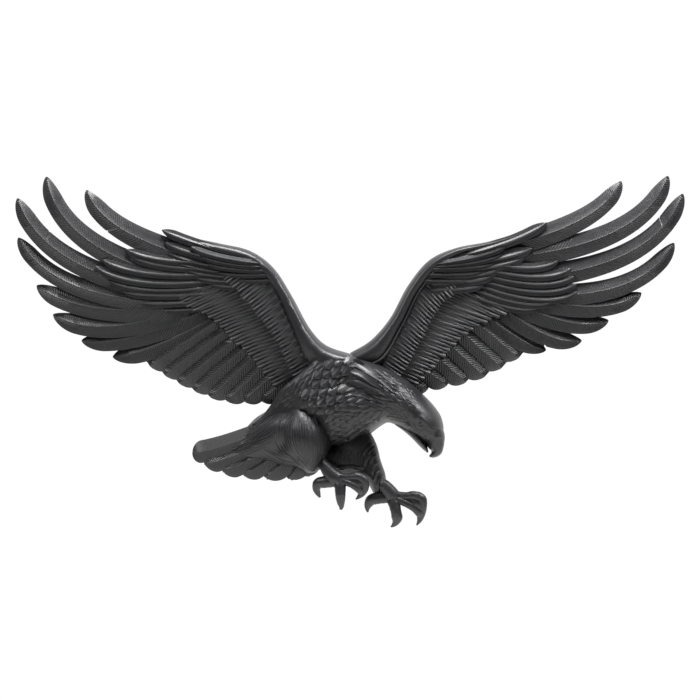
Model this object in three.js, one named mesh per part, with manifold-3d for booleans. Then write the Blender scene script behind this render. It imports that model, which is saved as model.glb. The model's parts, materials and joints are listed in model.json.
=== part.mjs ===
// Wall eagle: a one-piece cast aluminium relief with spread wings, fixed flat to a wall.
// Millimetres. +Z is up, the eagle's front faces -Y, the wall is the plane y = 0,
// and the origin is the middle of the round pad behind the body.
// Depths are distances out from the wall, so a point at depth d has y = -d.

import * as THREE from 'three';
import { mergeVertices } from 'three/addons/utils/BufferGeometryUtils.js';
import Module from 'manifold-3d';

// Casting
const BACK = 6;               // depth of the flat back, held off the wall by the pads
const PAD_RADIUS = 15;        // round pads that touch the wall
const PADS = [[0, 0, 56], [-170, 98, 24], [164, 100, 22]];   // x, z, depth where the boss ends
const PAD_SIDES = 24;

// Feathers
const FEATHER_STEPS = [0, 0.34, 0.58, 0.75, 0.87, 0.95, 1];
const SHORT_STEPS = [0, 0.45, 0.75, 0.92, 1];
const SCALE_STEPS = [0, 0.55, 1];
const BEND_AT = 0.68;         // where along a feather its bend is strongest
const ROOT_WIDTH = 0.8;       // width at the root, as a share of the full width
const TIP_LENGTH = 1.9;       // length of the rounded tip, in half widths
const TIP_WIDTH = 0.12;       // blunt end of the tip, as a share of the full width
const QUILL_RISE = 3.2;       // ridge along the shaft, above the vane
const SHINGLE = 1.7;          // lower edge stands this much proud of the upper edge

// Each feather: tip x, tip z, root x, root z, sag below the chord, half width.
const NEAR_PRIMARIES = [
  [-361, 242, -250, 160, 17, 13.5],
  [-415, 260, -240, 124, 32, 13.5],
  [-454, 230, -240, 104, 37, 13.5],
  [-453, 178, -235, 92, 31, 12.5],
  [-428, 113, -230, 82, 19, 14],
  [-406, 75, -225, 84, 20, 16],
  [-368, 40, -205, 80, 12, 15],
  [-326, 19, -195, 68, 6, 15],
];
const FAR_PRIMARIES = [
  [358, 254, 235, 176, 17, 12.5],
  [421, 260, 235, 155, 32, 13.5],
  [441, 236, 215, 124, 40, 13.5],
  [429, 172, 215, 104, 31, 13],
  [385, 104, 230, 100, 16, 14],
  [341, 67, 215, 92, 12, 14],
  [305, 40, 205, 80, 10, 13],
  [257, 28, 175, 75, 4, 14],
];
const NEAR_PRIMARY_COVERTS = [
  [-307, 162, -200, 143, 6, 7],
  [-303, 155, -200, 133, 5, 7],
  [-339, 147, -200, 122, 8, 8],
  [-348, 139, -195, 110, 12, 9],
  [-325, 107, -190, 101, 3, 8],
  [-293, 92, -185, 92, 2, 7.5],
];
const FAR_PRIMARY_COVERTS = [
  [273, 146, 185, 142, 8, 9],
  [290, 135, 178, 131, 10, 9],
  [293, 121, 174, 121, 12, 9],
  [299, 106, 172, 112, 14, 9],
  [253, 85, 165, 103, 8, 8],
];
const NEAR_LESSER_COVERTS = [
  [-259, 188, -130, 142, 4, 9],
  [-255, 169, -130, 136, 5, 9],
  [-245, 147, -125, 128, 5, 9],
  [-227, 136, -125, 122, 4, 8],
  [-215, 125, -120, 118, 2, 8],
  [-188, 116, -115, 114, 2, 7],
];
const FAR_LESSER_COVERTS = [
  [257, 199, 150, 158, 5, 9],
  [213, 178, 110, 142, 2, 8],
  [238, 163, 112, 138, 4, 9],
  [228, 151, 112, 130, 4, 8],
  [202, 139, 112, 122, 4, 8],
  [190, 128, 108, 116, 3, 8],
  [173, 114, 104, 108, 2, 7],
];
const TAIL_FEATHERS = [
  [-218, -112, -92, -66, 2, 15],
  [-203, -127, -88, -78, 3, 14],
  [-176, -138, -84, -86, 2, 14],
  [-148, -142, -78, -92, 2, 14],
  [-119, -147, -70, -98, 2, 14],
  [-88, -147, -60, -102, 1, 14],
  [-54, -143, -44, -102, 0, 12],
];

// Secondaries: tips and roots lie on two curves and are spaced evenly along them.
const NEAR_SECONDARIES = {
  count: 8,
  tips: [[-276, 1], [-227, -27], [-178, -45], [-121, -44]],
  roots: [[-180, 62], [-152, 36], [-122, 6], [-98, -18]],
  half: 13.5,
};
const FAR_SECONDARIES = {
  count: 6,
  tips: [[220, 14], [170, -13], [128, -22], [98, -27]],
  roots: [[160, 62], [126, 40], [100, 12], [74, -14]],
  half: 14,
};

// Wing bands, each between an inner and an outer edge; the ribs run from one to the other.
const NEAR_LEADING_EDGE = [[-240, 181], [-180, 167], [-140, 157], [-110, 137], [-85, 100],
  [-60, 55], [-40, 34], [0, 20]];
const NEAR_LEADING_INNER = [[-214, 158], [-176, 148], [-134, 132], [-110, 108], [-88, 62],
  [-66, 14], [-42, -4], [-6, -8]];
const NEAR_UPPER_EDGE = [[-123, 133], [-104, 97], [-86, 58], [-59, 2]];
const NEAR_MIDDLE_EDGE = [[-159, 111], [-129, 78], [-101, 40], [-80, -9]];
const NEAR_LOWER_EDGE = [[-214, 83], [-172, 53], [-137, 18], [-109, -22]];
const FAR_LEADING_EDGE = [[238, 191], [180, 173], [135, 164], [100, 148], [72, 115],
  [46, 68], [20, 39], [-7, 23]];
const FAR_LEADING_INNER = [[206, 168], [170, 160], [142, 152], [110, 130], [88, 104],
  [66, 60], [38, 12], [10, 0]];
const FAR_UPPER_EDGE = [[116, 136], [88, 104], [66, 58], [36, 4]];
const FAR_MIDDLE_EDGE = [[138, 111], [110, 84], [84, 38], [58, -9]];
const FAR_LOWER_EDGE = [[207, 80], [156, 59], [118, 22], [80, -19]];
const RIBS = 15;
const RIB_RISE = 1.8;
const RIB_SCALLOP = 2.4;      // how far a rib's rounded end reaches past the band's edge

// Rounded forms: x, z, half width, depth of the crest.
const TORSO = [[-124, -40, 5, 22], [-106, -38, 26, 46], [-78, -34, 42, 62], [-46, -37, 55, 72],
  [-20, -45, 61, 76], [6, -45, 51, 76], [28, -48, 41, 72], [48, -54, 18, 58], [62, -60, 4, 34]];
const NECK = [[-40, 0, 6, 44], [-14, -7, 28, 68], [22, -20, 30, 75], [52, -38, 30, 74],
  [78, -56, 26, 70], [96, -76, 24, 64], [106, -88, 16, 56], [110, -94, 5, 42]];
const FLANK = [[-52, 22, 14, 46], [-68, -4, 26, 58], [-86, -28, 24, 52], [-104, -54, 22, 43],
  [-120, -72, 15, 34], [-130, -82, 4, 22]];
const THIGH = [[-84, -46, 6, 46], [-78, -64, 28, 70], [-71, -90, 36, 78], [-62, -114, 27, 73],
  [-51, -132, 14, 64], [-43, -140, 6, 54]];
const RUMP = [[-84, -66, 20, 40], [-112, -90, 34, 42], [-142, -106, 28, 33], [-172, -114, 18, 25],
  [-196, -114, 5, 17]];
const GROIN = [[-54, -106, 8, 30], [-36, -115, 20, 34], [-10, -117, 21, 34], [12, -122, 14, 34]];
const FAR_THIGH = [[0, -82, 22, 36], [5, -101, 28, 50], [13, -119, 24, 50], [25, -136, 15, 46],
  [32, -150, 11.5, 44], [44, -164, 8, 42]];
const BEAK = [[99, -76, 6, 52], [107, -85, 13.5, 58], [108.5, -96, 13, 54], [109, -103, 10.5, 50],
  [109, -109, 7.5, 46], [104, -114, 4, 42], [99, -115.5, 1.2, 40]];
const LOWER_BEAK = [[78, -86, 6, 50], [86, -95, 7, 50], [92, -103, 5, 47], [96, -109, 2, 43]];
const BROW = [[84, -62, 3, 66], [93, -70, 5, 69], [104, -79, 4, 62], [112, -84, 2, 54]];
const EYE = [[84, -68, 1, 58], [88, -72, 4, 66], [92, -76, 1, 58]];

// Under the feathers each wing is one plate, from the leading edge to the secondaries' roots.
const NEAR_PLATE_EDGE = [[-252, 180], [-180, 163], [-112, 136], [-62, 50], [-20, 18]];
const NEAR_PLATE_INNER = [[-300, 104], [-230, 84], [-170, 50], [-118, 0], [-78, -32]];
const FAR_PLATE_EDGE = [[252, 190], [174, 167], [102, 146], [48, 66], [2, 22]];
const FAR_PLATE_INNER = [[282, 98], [215, 80], [150, 48], [104, 2], [66, -26]];
const PLATE_DEPTHS = [25, 20];

// Hollows in the back, which leave walls of about 8 mm: same form rows as above.
const HOLLOWS = [
  [[-212, 134, 6, 20], [-180, 136, 16, 28], [-146, 120, 20, 32], [-116, 82, 21, 34], [-92, 40, 20, 36], [-78, 14, 6, 30]],
  [[-196, 98, 5, 16], [-160, 70, 15, 23], [-134, 36, 15, 24], [-108, -8, 6, 22]],
  [[206, 140, 6, 16], [176, 142, 14, 23], [142, 126, 19, 26], [108, 86, 19, 26], [82, 44, 17, 26], [62, 12, 5, 20]],
  [[184, 90, 5, 14], [150, 70, 13, 19], [126, 40, 13, 20], [98, -4, 5, 16]],
  [[-98, -36, 6, 24], [-76, -34, 28, 46], [-40, -36, 36, 58], [2, -44, 34, 60], [28, -48, 6, 40]],
  [[-76, -80, 6, 44], [-72, -88, 22, 62], [-66, -106, 18, 60], [-60, -118, 5, 44]],
  [[36, -24, 6, 40], [50, -34, 17, 56], [74, -52, 15, 54], [86, -64, 5, 40]],
];

const HEAD_BACK = 16;
const BEAK_BACK = 30;
const FORM_STEPS = 10;
const FORM_SIDES = 7;

// Legs, toes and claws: x, depth, z, radius.
const LIMBS = [
  [[-48, 56, -124, 9], [-38, 55, -138, 8.5], [-24, 54, -147, 9], [-16, 54, -149, 3]],
  [[-28, 52, -147, 6.5], [-44, 48, -150, 7], [-52, 46, -155, 5.5], [-52, 42, -163, 3.4], [-47, 38, -172, 0.8]],
  [[-23, 55, -148, 8.5], [-20, 59, -159, 7.2], [-19.5, 58, -169, 6.4], [-19, 54, -179, 3.8], [-19, 49, -188, 0.8]],
  [[-22, 55, -146, 7], [-6, 59, -144, 6.5], [9, 61, -146, 7.5], [13, 58, -155, 6.5], [8, 54, -165, 4], [0, 50, -173, 0.8]],
  [[-20, 57, -147, 6], [-6, 61, -151, 6], [6, 61, -156, 5.4], [9, 58, -162, 3]],
  [[34, 40, -148, 9], [44, 39, -161, 8.5], [50, 38, -170, 9], [53, 38, -174, 4]],
  [[44, 36, -169, 7], [29, 34, -172.5, 7.5], [20, 32, -176, 5.8], [18, 30, -184, 3.2], [18, 27, -191, 0.8]],
  [[47, 38, -168, 8.5], [52, 43, -180, 7.4], [55, 43, -190, 6.4], [56, 40, -200, 4.6], [50, 34, -210, 0.8]],
  [[50, 38, -169, 8], [70, 43, -174, 8], [86, 45, -175, 9], [88, 43, -186, 6.6], [89, 39, -197, 4.4], [84, 33, -208, 0.8]],
  [[52, 40, -170, 7], [70, 46, -180, 5.5], [82, 47, -187, 5.4], [88, 44, -192, 3]],
];
const LIMB_SIDES = 6;

// Scale feathers in rows over the body, each row a line across the back and breast.
const SCALE_ROWS = 5;
const SCALES_PER_ROW = 6;
const SCALE_LENGTH = 20;
const SCALE_HALF = 8;
const SCALE_RISE = 2.4;

const SLIVER = 0.12;          // facets thinner than this are merged where solids meet

const wasm = await Module();
wasm.setup();

// A ring is a loop of points; rings in a row become one closed solid.
function loft(rings) {
  const count = rings[0].length;
  const positions = rings.flat(2);
  const index = [];
  for (let i = 0; i + 1 < rings.length; i += 1) {
    for (let j = 0; j < count; j += 1) {
      const a = i * count + j;
      const b = i * count + ((j + 1) % count);
      index.push(a, b, b + count, a, b + count, a + count);
    }
  }
  const last = (rings.length - 1) * count;
  for (let j = 1; j + 1 < count; j += 1) {
    index.push(0, j + 1, j);
    index.push(last, last + j, last + j + 1);
  }
  const geometry = new THREE.BufferGeometry();
  geometry.setAttribute('position', new THREE.Float32BufferAttribute(positions, 3));
  geometry.setIndex(index);
  return geometry;
}

function signedVolume(geometry) {
  const point = geometry.attributes.position;
  const corner = geometry.index.array;
  const [a, b, c] = [new THREE.Vector3(), new THREE.Vector3(), new THREE.Vector3()];
  let total = 0;
  for (let i = 0; i < corner.length; i += 3) {
    a.fromBufferAttribute(point, corner[i]);
    b.fromBufferAttribute(point, corner[i + 1]);
    c.fromBufferAttribute(point, corner[i + 2]);
    total += a.dot(b.cross(c)) / 6;
  }
  return total;
}

function solid(geometry) {
  const merged = mergeVertices(geometry, 1e-4);
  const triVerts = Uint32Array.from(merged.index.array);
  if (signedVolume(merged) < 0) {
    triVerts.reverse();
  }
  const mesh = new wasm.Mesh({
    numProp: 3,
    vertProperties: Float32Array.from(merged.attributes.position.array),
    triVerts,
  });
  return new wasm.Manifold(mesh);
}

function curveThrough(points) {
  const vectors = points.map(([x, z]) => new THREE.Vector3(x, 0, z));
  return new THREE.CatmullRomCurve3(vectors, false, 'centripetal');
}

function smoothCurve4(points) {
  const values = points.map((p) => new THREE.Vector3(p[0], p[1], p[2]));
  const radii = points.map((p, i) => new THREE.Vector3(i, p[3], 0));
  const path = new THREE.CatmullRomCurve3(values, false, 'centripetal');
  const size = new THREE.CatmullRomCurve3(radii, false, 'centripetal');
  return (t) => ({ at: path.getPoint(t), tangent: path.getTangent(t), size: Math.max(size.getPoint(t).y, 0.5) });
}

const lerp = THREE.MathUtils.lerp;
const clamp = THREE.MathUtils.clamp;

// A feather's vane: gabled along the shaft, lower edge proud, flat back.
function feather([tipX, tipZ, rootX, rootZ, sag, half], rootDepth, tipDepth, options = {}) {
  const steps = options.steps ?? FEATHER_STEPS;
  const rise = options.rise ?? QUILL_RISE;
  const shingle = options.shingle ?? SHINGLE;
  const chord = new THREE.Vector2(tipX - rootX, tipZ - rootZ);
  const length = chord.length();
  const down = new THREE.Vector2(chord.y, -chord.x).divideScalar(length);
  if (down.y > 0) {
    down.negate();
  }
  const bend = new THREE.Vector2(rootX, rootZ).addScaledVector(chord, BEND_AT).addScaledVector(down, 2 * sag);
  const shaft = new THREE.QuadraticBezierCurve(new THREE.Vector2(rootX, rootZ), bend, new THREE.Vector2(tipX, tipZ));
  const tipStart = 1 - Math.min(0.7, (TIP_LENGTH * half) / length);
  const rings = steps.map((s) => {
    const at = shaft.getPoint(s);
    const along = shaft.getTangent(s);
    const side = new THREE.Vector2(along.y, -along.x);
    if (side.dot(down) < 0) {
      side.negate();
    }
    const grow = lerp(ROOT_WIDTH, 1, Math.min(1, s / 0.35));
    const round = s > tipStart ? Math.sqrt(1 - ((s - tipStart) / (1 - tipStart)) ** 2) : 1;
    const width = half * Math.max(TIP_WIDTH, grow * round);
    const depth = lerp(rootDepth, tipDepth, s);
    const crown = rise * Math.max(0.35, round);
    const low = [at.x + side.x * width, at.y + side.y * width];
    const high = [at.x - side.x * width, at.y - side.y * width];
    return [
      [high[0], -BACK, high[1]],
      [high[0], -(depth - shingle), high[1]],
      [at.x, -(depth + crown), at.y],
      [low[0], -(depth + shingle), low[1]],
      [low[0], -BACK, low[1]],
    ];
  });
  return solid(loft(rings));
}

function feathers(rows, rootDepths, tipDepths, options) {
  return rows.map((row, i) => {
    const t = rows.length > 1 ? i / (rows.length - 1) : 0;
    return feather(row, lerp(...rootDepths, t), lerp(...tipDepths, t), options);
  });
}

function secondaries({ count, tips, roots, half }, rootDepth, tipDepth) {
  const tipCurve = curveThrough(tips);
  const rootCurve = curveThrough(roots);
  return Array.from({ length: count }, (_, i) => {
    const tip = tipCurve.getPointAt(i / (count - 1));
    const root = rootCurve.getPointAt(i / (count - 1));
    return feather([tip.x, tip.z, root.x, root.z, 0, half], rootDepth, tipDepth, { steps: SHORT_STEPS });
  });
}

// A band of side-by-side ribs, or one smooth roll when it has none.
function band(innerPoints, outerPoints, innerDepth, outerDepth, ribs) {
  const inner = curveThrough(innerPoints);
  const outer = curveThrough(outerPoints);
  const columns = ribs * 2;
  const rings = [];
  for (let i = 0; i <= columns; i += 1) {
    const t = i / columns;
    const ridge = i % 2;
    const a = inner.getPointAt(t);
    const b = outer.getPointAt(t);
    const reach = 1 + (ridge * RIB_SCALLOP) / a.distanceTo(b);
    const end = a.clone().lerp(b, reach);
    const middle = a.clone().lerp(b, 0.55);
    const lift = ridge * RIB_RISE;
    const da = lerp(...innerDepth, t);
    const db = lerp(...outerDepth, t);
    rings.push([
      [a.x, -BACK, a.z],
      [a.x, -(da + lift * 0.4), a.z],
      [middle.x, -(lerp(da, db, 0.45) + lift), middle.z],
      [end.x, -(db + lift), end.z],
      [end.x, -BACK, end.z],
    ]);
  }
  return solid(loft(rings));
}

function plate(edgePoints, innerPoints, [edgeDepth, innerDepth], steps) {
  const edge = curveThrough(edgePoints);
  const inner = curveThrough(innerPoints);
  const rings = [];
  for (let i = 0; i <= steps; i += 1) {
    const a = edge.getPoint(i / steps);
    const b = inner.getPoint(i / steps);
    rings.push([
      [a.x, -BACK, a.z],
      [a.x, -edgeDepth, a.z],
      [b.x, -innerDepth, b.z],
      [b.x, -BACK, b.z],
    ]);
  }
  return solid(loft(rings));
}

// The smooth roll along a leading edge: its crest lies a third of the way in from the edge.
function leadingRoll(edgePoints, innerPoints, crestDepths, steps) {
  const edge = curveThrough(edgePoints);
  const inner = curveThrough(innerPoints);
  const crest = new THREE.CatmullRomCurve3(crestDepths.map((d, i) => new THREE.Vector3(i, d, 0)));
  const profile = [[0, 0.45], [0.1, 0.78], [0.3, 1], [0.62, 0.98], [1, 0.8]];
  const rings = [];
  for (let i = 0; i <= steps; i += 1) {
    const t = i / steps;
    const a = edge.getPoint(t);
    const b = inner.getPoint(t);
    const top = crest.getPoint(t).y - BACK;
    const ring = [[a.x, -BACK, a.z]];
    for (const [across, height] of profile) {
      const p = a.clone().lerp(b, across);
      ring.push([p.x, -(BACK + top * height), p.z]);
    }
    ring.push([b.x, -BACK, b.z]);
    rings.push(ring);
  }
  return solid(loft(rings));
}

// A rounded form with a half-round section over a flat back.
function form(stations, back = BACK, steps = FORM_STEPS, sides = FORM_SIDES) {
  const spine = smoothCurve4(stations.map(([x, z, half, crest]) => [x, crest, z, half]));
  const rings = [];
  for (let i = 0; i <= steps; i += 1) {
    const { at, tangent, size } = spine(i / steps);
    const side = new THREE.Vector2(-tangent.z, tangent.x).normalize();
    const ring = [];
    for (let j = 0; j <= sides; j += 1) {
      const angle = Math.PI * (j / sides);
      const across = size * Math.cos(angle);
      const depth = back + (at.y - back) * Math.sin(angle);
      ring.push([at.x + side.x * across, -depth, at.z + side.y * across]);
    }
    rings.push(ring);
  }
  return solid(loft(rings));
}

// Height of a rounded form above a point, for what is laid on it.
function formDepth(stations, x, z) {
  const spine = smoothCurve4(stations.map(([sx, sz, half, crest]) => [sx, crest, sz, half]));
  let best = BACK;
  for (let i = 0; i <= 60; i += 1) {
    const { at, size } = spine(i / 60);
    const across = Math.hypot(x - at.x, z - at.z) / size;
    if (across < 1) {
      best = Math.max(best, BACK + (at.y - BACK) * Math.sqrt(1 - across * across));
    }
  }
  return best;
}

function limb(stations) {
  const spine = smoothCurve4(stations);
  const steps = (stations.length - 1) * 2;
  const rings = [];
  for (let i = 0; i <= steps; i += 1) {
    const { at, tangent, size } = spine(i / steps);
    const front = new THREE.Vector3(0, 1, 0);
    const side = new THREE.Vector3(-tangent.z, 0, tangent.x).normalize();
    const ring = [];
    for (let j = 0; j < LIMB_SIDES; j += 1) {
      const angle = (2 * Math.PI * j) / LIMB_SIDES;
      const p = at.clone().addScaledVector(side, size * Math.cos(angle)).addScaledVector(front, size * Math.sin(angle));
      ring.push([p.x, -p.y, p.z]);
    }
    rings.push(ring);
  }
  return solid(loft(rings));
}

function scales() {
  const list = [];
  for (let row = 0; row < SCALE_ROWS; row += 1) {
    for (let i = 0; i < SCALES_PER_ROW; i += 1) {
      const across = (i + 0.5 * (row % 2)) / SCALES_PER_ROW;
      const x = lerp(-56, 22, row / (SCALE_ROWS - 1)) + 6 * across;
      const z = lerp(6, -84, across) - row * 2;
      const tipX = x - SCALE_LENGTH * 0.5;
      const tipZ = z - SCALE_LENGTH * 0.28;
      const rootX = x + SCALE_LENGTH * 0.5;
      const rootZ = z + SCALE_LENGTH * 0.28;
      const tipDepth = Math.max(formDepth(TORSO, tipX, tipZ), formDepth(NECK, tipX, tipZ));
      const rootDepth = Math.max(formDepth(TORSO, rootX, rootZ), formDepth(NECK, rootX, rootZ));
      if (tipDepth > 40 && rootDepth > 40) {
        const options = { steps: SCALE_STEPS, rise: SCALE_RISE, shingle: 0 };
        list.push(feather([tipX, tipZ, rootX, rootZ, 0, SCALE_HALF], rootDepth - 2, tipDepth + 1, options));
      }
    }
  }
  return list;
}

function pad([x, z, depth]) {
  const disc = new THREE.CylinderGeometry(PAD_RADIUS, PAD_RADIUS, depth, PAD_SIDES);
  disc.deleteAttribute('normal');
  disc.deleteAttribute('uv');
  disc.translate(x, -depth / 2, z);
  return solid(disc);
}

const nearWing = [
  plate(NEAR_PLATE_EDGE, NEAR_PLATE_INNER, PLATE_DEPTHS, 10),
  ...feathers(NEAR_PRIMARIES, [31, 24], [16, 13]),
  ...secondaries(NEAR_SECONDARIES, 30, 13),
  ...feathers(NEAR_PRIMARY_COVERTS, [38, 34], [31, 27], { steps: SHORT_STEPS }),
  ...feathers(NEAR_LESSER_COVERTS, [42, 40], [34, 34], { steps: SHORT_STEPS }),
  band(NEAR_MIDDLE_EDGE, NEAR_LOWER_EDGE, [38, 40], [31, 34], RIBS),
  band(NEAR_UPPER_EDGE, NEAR_MIDDLE_EDGE, [43, 50], [40, 44], RIBS),
  leadingRoll(NEAR_LEADING_EDGE, NEAR_LEADING_INNER, [38, 44, 50, 58, 66], 12),
];
const farWing = [
  plate(FAR_PLATE_EDGE, FAR_PLATE_INNER, PLATE_DEPTHS, 10),
  ...feathers(FAR_PRIMARIES, [28, 22], [15, 13]),
  ...secondaries(FAR_SECONDARIES, 25, 13),
  ...feathers(FAR_PRIMARY_COVERTS, [33, 31], [28, 25], { steps: SHORT_STEPS }),
  ...feathers(FAR_LESSER_COVERTS, [37, 35], [30, 31], { steps: SHORT_STEPS }),
  band(FAR_MIDDLE_EDGE, FAR_LOWER_EDGE, [32, 32], [27, 28], RIBS),
  band(FAR_UPPER_EDGE, FAR_MIDDLE_EDGE, [36, 37], [34, 34], RIBS),
  leadingRoll(FAR_LEADING_EDGE, FAR_LEADING_INNER, [33, 38, 41, 42, 40], 12),
];
const trunk = [
  form(TORSO, BACK, 12, 10),
  form(NECK, HEAD_BACK, 12, 10),
  form(FLANK),
  form(THIGH),
  form(RUMP),
  form(GROIN),
  form(FAR_THIGH, HEAD_BACK),
  ...feathers(TAIL_FEATHERS, [32, 30], [15, 16], { steps: SHORT_STEPS }),
  ...scales(),
];
const headParts = [
  form(BEAK, BEAK_BACK, 9, 6),
  form(LOWER_BEAK, BEAK_BACK, 6, 6),
  form(BROW, BEAK_BACK, 6, 6),
  form(EYE, BEAK_BACK, 4, 6),
];
const limbs = LIMBS.map(limb);
const pads = PADS.map(pad);

const hollows = HOLLOWS.map((stations) => form(stations, 0, 6, 6));

const outside = wasm.Manifold.union([...nearWing, ...farWing, ...trunk, ...headParts, ...limbs]);
const shell = outside.subtract(wasm.Manifold.union(hollows));
const joined = shell.add(wasm.Manifold.union(pads));
const result = joined.asOriginal().simplify(SLIVER).getMesh();

const geometry = new THREE.BufferGeometry();
geometry.setAttribute('position', new THREE.Float32BufferAttribute(Array.from(result.vertProperties), 3));
geometry.setIndex(Array.from(result.triVerts));
geometry.computeVertexNormals();

const blackCoat = new THREE.MeshStandardMaterial({ color: 0x1c1c1e, roughness: 0.42, metalness: 0 });
const casting = new THREE.Mesh(geometry, blackCoat);
casting.name = 'eagle';

const eagle = new THREE.Group();
eagle.add(casting);

export default eagle;
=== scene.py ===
import json
import math

import bmesh
import bpy
import numpy as np
from mathutils.bvhtree import BVHTree
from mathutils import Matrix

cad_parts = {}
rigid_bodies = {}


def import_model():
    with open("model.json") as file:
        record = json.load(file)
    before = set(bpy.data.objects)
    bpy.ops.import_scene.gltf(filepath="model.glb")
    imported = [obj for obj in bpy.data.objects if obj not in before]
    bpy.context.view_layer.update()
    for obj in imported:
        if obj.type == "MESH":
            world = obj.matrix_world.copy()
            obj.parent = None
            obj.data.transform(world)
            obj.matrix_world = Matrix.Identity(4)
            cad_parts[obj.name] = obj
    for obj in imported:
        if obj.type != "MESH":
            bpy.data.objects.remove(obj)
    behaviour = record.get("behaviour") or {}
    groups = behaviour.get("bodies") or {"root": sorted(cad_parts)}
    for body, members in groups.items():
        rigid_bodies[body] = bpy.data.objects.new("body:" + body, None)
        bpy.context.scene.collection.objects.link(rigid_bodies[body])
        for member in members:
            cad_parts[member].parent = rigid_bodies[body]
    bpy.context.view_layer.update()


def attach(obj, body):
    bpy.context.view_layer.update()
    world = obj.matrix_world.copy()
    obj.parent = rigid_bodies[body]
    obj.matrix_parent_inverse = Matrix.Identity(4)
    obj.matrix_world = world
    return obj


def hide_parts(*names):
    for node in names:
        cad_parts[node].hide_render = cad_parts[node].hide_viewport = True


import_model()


# Satin black powder coat over the bare aluminium: dry polyester powder melts in an oven into one
# skin about a tenth of a millimetre thick. It is nearly black with a faint cool cast and a few paler
# patches, and orange peel breaks up its soft gleam. Light and shade are also painted into its colour:
# painted shade makes it blacker in the furrows and a painted highlight makes it paler over raised edges.
COAT_BLACK = "#060607"
COAT_PALE_PATCH_AND_HIGHLIGHT = "#323235"
SMOOTHEST, ROUGHEST = 0.34, 0.44
# Pointiness below the first limit gets the full painted shade; above the second, the full painted highlight.
FURROW, EDGE = 0.45, 0.56
PATCH_SIZE = 0.028
PATCH_SHARE = 0.2
ORANGE_PEEL = 0.0016
PEEL_DEPTH = 0.00012
SAND_GRAIN = 0.0042
GRAIN_DEPTH = 0.00035


def linear(colour):
    """A hex colour as the eye reads it, turned into the linear red, green and blue the shader wants."""
    parts = [int(colour[i:i + 2], 16) / 255 for i in (1, 3, 5)]
    return tuple(c / 12.92 if c <= 0.04045 else ((c + 0.055) / 1.055) ** 2.4 for c in parts) + (1.0,)


def add(tree, kind, inputs=None, **settings):
    """Adds a node with its settings; an input gets a value, an output or another node's first output."""
    made = tree.nodes.new(kind)
    for name, value in settings.items():
        setattr(made, name, value)
    for name, value in (inputs or {}).items():
        if isinstance(value, bpy.types.Node):
            value = value.outputs[0]
        if isinstance(value, bpy.types.NodeSocket):
            tree.links.new(value, made.inputs[name])
        else:
            made.inputs[name].default_value = value
    return made


def cleared(owner):
    """The node tree of a material or a world, with nothing in it yet."""
    owner.use_nodes = True
    owner.node_tree.nodes.clear()
    return owner.node_tree


coat = bpy.data.materials.new("Satin black powder coat")
coat_tree = cleared(coat)
place = add(coat_tree, "ShaderNodeTexCoord").outputs["Object"]
patches = add(coat_tree, "ShaderNodeTexNoise", {"Vector": place, "Scale": 1 / PATCH_SIZE, "Detail": 3.0})
# Painted shade and highlight: by the mesh's pointiness, the colour is darkened in furrows and lightened over
# raised edges.
bend = add(coat_tree, "ShaderNodeMapRange", {
    "Value": add(coat_tree, "ShaderNodeNewGeometry").outputs["Pointiness"],
    "From Min": FURROW, "From Max": EDGE, "To Min": 0.0, "To Max": 1 - PATCH_SHARE,
})
# Random paler patches, plus the painted shade in furrows and the painted highlight on raised edges.
pale_patch_and_painted_light = add(coat_tree, "ShaderNodeMath", {0: patches, 1: PATCH_SHARE, 2: bend}, operation="MULTIPLY_ADD")
tint = add(coat_tree, "ShaderNodeMix", {"Factor": pale_patch_and_painted_light}, data_type="RGBA")
for socket in tint.inputs:
    if socket.type == "RGBA":
        socket.default_value = linear(COAT_BLACK if socket.name == "A" else COAT_PALE_PATCH_AND_HIGHLIGHT)
gleam = add(coat_tree, "ShaderNodeMapRange", {
    "Value": patches, "From Min": 0.3, "From Max": 0.7, "To Min": SMOOTHEST, "To Max": ROUGHEST,
})
peel = add(coat_tree, "ShaderNodeTexNoise", {"Vector": place, "Scale": 1 / ORANGE_PEEL, "Detail": 1.0})
grain = add(coat_tree, "ShaderNodeTexNoise", {"Vector": place, "Scale": 1 / SAND_GRAIN, "Detail": 2.0})
grain_bump = add(coat_tree, "ShaderNodeBump", {"Height": grain, "Strength": 0.5, "Distance": GRAIN_DEPTH})
peel_bump = add(coat_tree, "ShaderNodeBump", {
    "Height": peel, "Strength": 0.5, "Distance": PEEL_DEPTH, "Normal": grain_bump,
})
surface = add(coat_tree, "ShaderNodeBsdfPrincipled", {
    "Base Color": [s for s in tint.outputs if s.type == "RGBA"][0], "Roughness": gleam,
    "Normal": peel_bump, "Metallic": 0.0, "IOR": 1.5,
})
add(coat_tree, "ShaderNodeOutputMaterial", {"Surface": surface})


# Flight feathers, eight long fingers and a fan of shorter ones on each wing. They are carved in the
# pattern and cast with it: each vane is gabled along a raised shaft, its lower edge laps over the
# next feather, and the barbs are fine slanting furrows that end in a few open nicks.
MM = 0.001
BACK = 6.0
SUNK_BACK = 3.0
BEND_AT = 0.68
FINGER_TAPER = (1.12, 0.72)
FINGER_TIP = (2.6, 0.62)
BLUNT_TIP = (1.05, 0.5)
TIP_CURVE = 1.8
TIP_WIDTH = 0.08
BARB_LEAN = 0.9
BARB_PITCH = 3.5
VANE = (-1, -0.55, -0.1, 0, 0.1, 0.55, 1)
NARROW_VANE = (-1, -0.32, 0, 0.32, 1)
ROOT_DIVE = 6.0
ROOT_SHARE = 0.18
LONGEST_TIP = 0.7
SHAFT_HALF = 0.05
NICK_LEFT = 0.84
NICK_PLACES = (0.42, 0.84)
EDGE_ROUNDS = 14
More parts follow.
